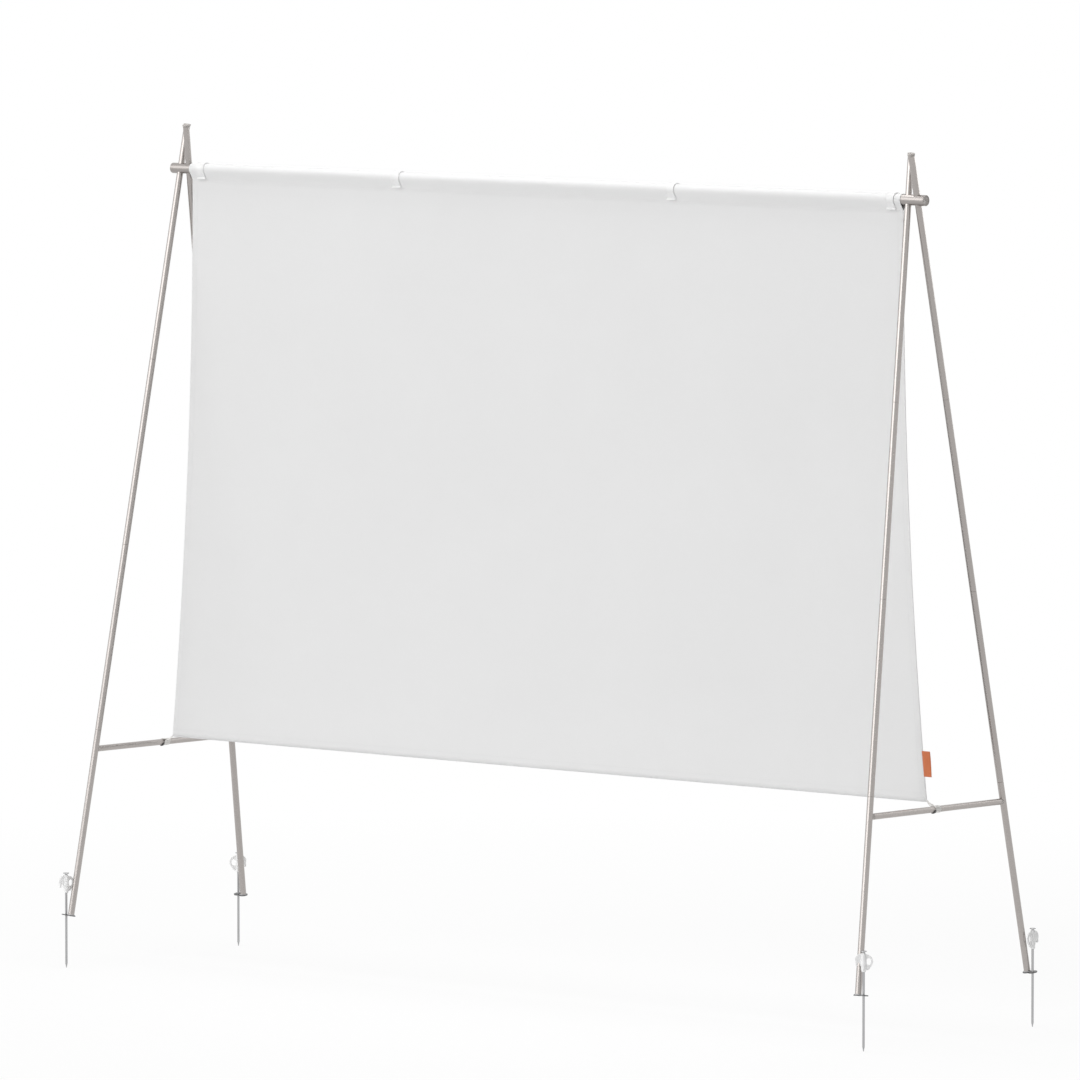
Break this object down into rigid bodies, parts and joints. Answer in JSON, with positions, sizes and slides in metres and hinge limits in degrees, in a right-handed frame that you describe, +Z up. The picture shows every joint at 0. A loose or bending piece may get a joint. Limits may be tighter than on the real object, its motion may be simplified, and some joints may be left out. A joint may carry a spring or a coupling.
{
  "type": "portable projection screen",
  "caption": "Free-standing projection screen: a cloth hung from a top tube on two splayed pole A-frames with crossbars, sliding clips, lift-out stubs and ground pegs with turning hook heads.",
  "frame": {"origin": "midway between the four feet, at the level of the poles' lower ends, which is the ground", "axes": "+X runs along the top tube, to the right as seen from the projected side, -Y is the side the cloth is watched from and +Z is up"},
  "size_m": [2.7648, 0.7033, 2.2479],
  "materials": {
    "tube_steel": "bright drawn tube",
    "pole_steel": "bright drawn tube",
    "bar_steel": "satin",
    "plate_steel": "zinc plated, satin",
    "nail_steel": "zinc plated, satin",
    "white_plastic": "moulded, matt",
    "grey_plastic": "moulded, satin, light grey",
    "white_cloth": "close white weave, matt",
    "white_webbing": "woven webbing",
    "orange_tag": "woven tape, plain",
    "dark_plastic": "moulded, matt"
  },
  "bodies": {
    "frame": {"top_tube_left": "tube_steel", "top_tube_inner_left": "tube_steel", "top_tube_centre": "tube_steel", "top_tube_inner_right": "tube_steel", "top_tube_right": "tube_steel", "top_tube_spigots": "tube_steel", "top_tube_plugs": "grey_plastic", "left_front_leg_1": "pole_steel", "left_front_leg_2": "pole_steel", "left_front_leg_3": "pole_steel", "left_front_leg_4": "pole_steel", "left_front_foot_plate": "plate_steel", "left_rear_leg_1": "pole_steel", "left_rear_leg_2": "pole_steel", "left_rear_leg_3": "pole_steel", "left_rear_leg_4": "pole_steel", "left_rear_foot_plate": "plate_steel", "right_front_leg_1": "pole_steel", "right_front_leg_2": "pole_steel", "right_front_leg_3": "pole_steel", "right_front_leg_4": "pole_steel", "right_front_foot_plate": "plate_steel", "right_rear_leg_1": "pole_steel", "right_rear_leg_2": "pole_steel", "right_rear_leg_3": "pole_steel", "right_rear_leg_4": "pole_steel", "right_rear_foot_plate": "plate_steel", "left_leg_spigots": "pole_steel", "right_leg_spigots": "pole_steel", "left_crossbar": "bar_steel", "right_crossbar": "bar_steel", "crossbar_front_saddles": "grey_plastic", "crossbar_rear_saddles": "grey_plastic", "left_tie_strap": "white_webbing", "right_tie_strap": "white_webbing", "strap_keepers": "dark_plastic", "screen_cloth": "white_cloth", "side_tag": "orange_tag"},
    "stub_left_front": {"left_front_stub": "pole_steel", "left_front_stub_cap": "grey_plastic"},
    "stub_left_rear": {"left_rear_stub": "pole_steel", "left_rear_stub_cap": "grey_plastic"},
    "stub_right_front": {"right_front_stub": "pole_steel", "right_front_stub_cap": "grey_plastic"},
    "stub_right_rear": {"right_rear_stub": "pole_steel", "right_rear_stub_cap": "grey_plastic"},
    "nail_left_front": {"left_front_peg_nail": "nail_steel"},
    "nail_left_rear": {"left_rear_peg_nail": "nail_steel"},
    "nail_right_front": {"right_front_peg_nail": "nail_steel"},
    "nail_right_rear": {"right_rear_peg_nail": "nail_steel"},
    "head_left_front": {"left_front_peg_head": "white_plastic"},
    "head_left_rear": {"left_rear_peg_head": "white_plastic"},
    "head_right_front": {"right_front_peg_head": "white_plastic"},
    "head_right_rear": {"right_rear_peg_head": "white_plastic"},
    "sleeve_clip_left": {"clip_left": "white_plastic"},
    "sleeve_clip_inner_left": {"clip_inner_left": "white_plastic"},
    "sleeve_clip_inner_right": {"clip_inner_right": "white_plastic"},
    "sleeve_clip_right": {"clip_right": "white_plastic"}
  },
  "joints": [
    {"name": "left_front_stub_lift", "type": "slide", "parent": "frame", "child": "stub_left_front", "axis": [0.0521, 0.1637, 0.9851], "range_m": [0, 0.045]},
    {"name": "left_rear_stub_lift", "type": "slide", "parent": "frame", "child": "stub_left_rear", "axis": [0.0521, -0.1637, 0.9851], "range_m": [0, 0.045]},
    {"name": "right_front_stub_lift", "type": "slide", "parent": "frame", "child": "stub_right_front", "axis": [-0.0521, 0.1637, 0.9851], "range_m": [0, 0.045]},
    {"name": "right_rear_stub_lift", "type": "slide", "parent": "frame", "child": "stub_right_rear", "axis": [-0.0521, -0.1637, 0.9851], "range_m": [0, 0.045]},
    {"name": "left_front_peg_drive", "type": "slide", "parent": "frame", "child": "nail_left_front", "axis": [0, 0, 1], "range_m": [-0.055, 0.13]},
    {"name": "left_rear_peg_drive", "type": "slide", "parent": "frame", "child": "nail_left_rear", "axis": [0, 0, 1], "range_m": [-0.055, 0.13]},
    {"name": "right_front_peg_drive", "type": "slide", "parent": "frame", "child": "nail_right_front", "axis": [0, 0, 1], "range_m": [-0.055, 0.13]},
    {"name": "right_rear_peg_drive", "type": "slide", "parent": "frame", "child": "nail_right_rear", "axis": [0, 0, 1], "range_m": [-0.055, 0.13]},
    {"name": "left_front_head_turn", "type": "hinge", "parent": "nail_left_front", "child": "head_left_front", "pos_m": [-1.3703, -0.33, 0.0856], "axis": [0, 0, 1], "range_deg": [-8, 100]},
    {"name": "left_rear_head_turn", "type": "hinge", "parent": "nail_left_rear", "child": "head_left_rear", "pos_m": [-1.3403, 0.33, 0.0856], "axis": [0, 0, -1], "range_deg": [-70, 40]},
    {"name": "right_front_head_turn", "type": "hinge", "parent": "nail_right_front", "child": "head_right_front", "pos_m": [1.3403, -0.33, 0.0856], "axis": [0, 0, -1], "range_deg": [-70, 40]},
    {"name": "right_rear_head_turn", "type": "hinge", "parent": "nail_right_rear", "child": "head_right_rear", "pos_m": [1.3703, 0.33, 0.0856], "axis": [0, 0, 1], "range_deg": [-15, 85]},
    {"name": "left_clip_slide", "type": "slide", "parent": "frame", "child": "sleeve_clip_left", "axis": [1, 0, 0], "range_m": [-0.02, 0.3]},
    {"name": "inner_left_clip_slide", "type": "slide", "parent": "frame", "child": "sleeve_clip_inner_left", "axis": [1, 0, 0], "range_m": [-0.3, 0.3]},
    {"name": "inner_right_clip_slide", "type": "slide", "parent": "frame", "child": "sleeve_clip_inner_right", "axis": [1, 0, 0], "range_m": [-0.3, 0.3]},
    {"name": "right_clip_slide", "type": "slide", "parent": "frame", "child": "sleeve_clip_right", "axis": [1, 0, 0], "range_m": [-0.3, 0.02]}
  ]
}
